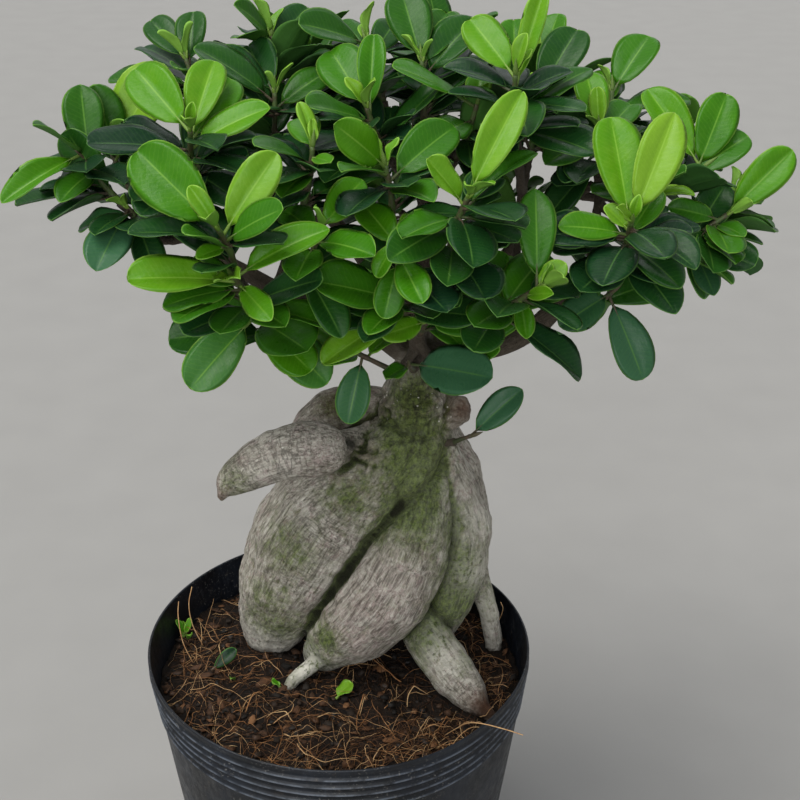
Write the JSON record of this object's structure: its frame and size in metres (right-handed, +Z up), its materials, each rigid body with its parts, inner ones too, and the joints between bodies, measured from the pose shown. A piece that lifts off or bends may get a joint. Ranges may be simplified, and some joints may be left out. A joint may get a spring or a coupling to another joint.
{
  "type": "potted ginseng ficus",
  "caption": "Potted bonsai-style fig with a swollen, lobed rootstock standing on the soil, short branches and a wide crown of leathery oval leaves, in a ribbed round nursery pot.",
  "frame": {"origin": "centre of the pot's flat underside", "axes": "+Z up through the pot and the neck, -Y towards the front that the picture shows, +X to the right seen from the front"},
  "size_m": [0.3863, 0.2894, 0.5504],
  "materials": {
    "black_plastic": "dull blue-black soft plastic, scuffed and dusty, with pale edges on the ribs",
    "coir_soil": "dark crumbly potting mix with orange-brown coconut fibres",
    "bark": "pale grey-tan bark, finely wrinkled, with yellow-green algae on the neck and in the creases",
    "young_leaf": "bright yellow-green, leathery, glossy, with a pale edge and midrib",
    "old_leaf": "dark green, leathery, glossy, with a paler midrib"
  },
  "bodies": {
    "root": {"pot": "black_plastic", "rootstock": "bark", "shoot_back_bright": "young_leaf", "shoot_back_dark": "old_leaf", "shoot_back_right": "old_leaf", "shoot_centre": "young_leaf", "shoot_centre_left": "old_leaf", "shoot_centre_left_back": "young_leaf", "shoot_centre_left_front": "old_leaf", "shoot_centre_ridge": "old_leaf", "shoot_crown_top_left": "young_leaf", "shoot_crown_top_middle": "old_leaf", "shoot_crown_top_right": "old_leaf", "shoot_front_curl": "young_leaf", "shoot_front_low": "old_leaf", "shoot_front_middle": "old_leaf", "shoot_left_front": "young_leaf", "shoot_left_front_low": "young_leaf", "shoot_left_low": "old_leaf", "shoot_left_middle": "young_leaf", "shoot_left_tip": "young_leaf", "shoot_low_front": "old_leaf", "shoot_low_left": "old_leaf", "shoot_low_middle": "old_leaf", "shoot_low_right": "old_leaf", "shoot_neck_sprout": "old_leaf", "shoot_pale_leaf": "young_leaf", "shoot_rear_left": "old_leaf", "shoot_rear_left_inner": "old_leaf", "shoot_rear_left_low": "old_leaf", "shoot_rear_middle": "old_leaf", "shoot_rear_middle_left": "old_leaf", "shoot_rear_middle_right": "old_leaf", "shoot_rear_middle_top": "old_leaf", "shoot_rear_right": "old_leaf", "shoot_rear_right_inner": "old_leaf", "shoot_rear_right_low": "old_leaf", "shoot_rear_under": "old_leaf", "shoot_rear_under_left": "old_leaf", "shoot_rear_under_right": "old_leaf", "shoot_right_back": "old_leaf", "shoot_right_far": "old_leaf", "shoot_right_front": "young_leaf", "shoot_right_high": "young_leaf", "shoot_right_inner": "old_leaf", "shoot_right_low": "old_leaf", "shoot_right_tip": "young_leaf", "shoot_right_under": "old_leaf", "shoot_tall_leaf": "young_leaf", "shoot_top_left_inner": "old_leaf", "shoot_top_left_outer": "old_leaf", "shoot_upper_left": "young_leaf", "soil": "coir_soil"}
  },
  "joints": []
}
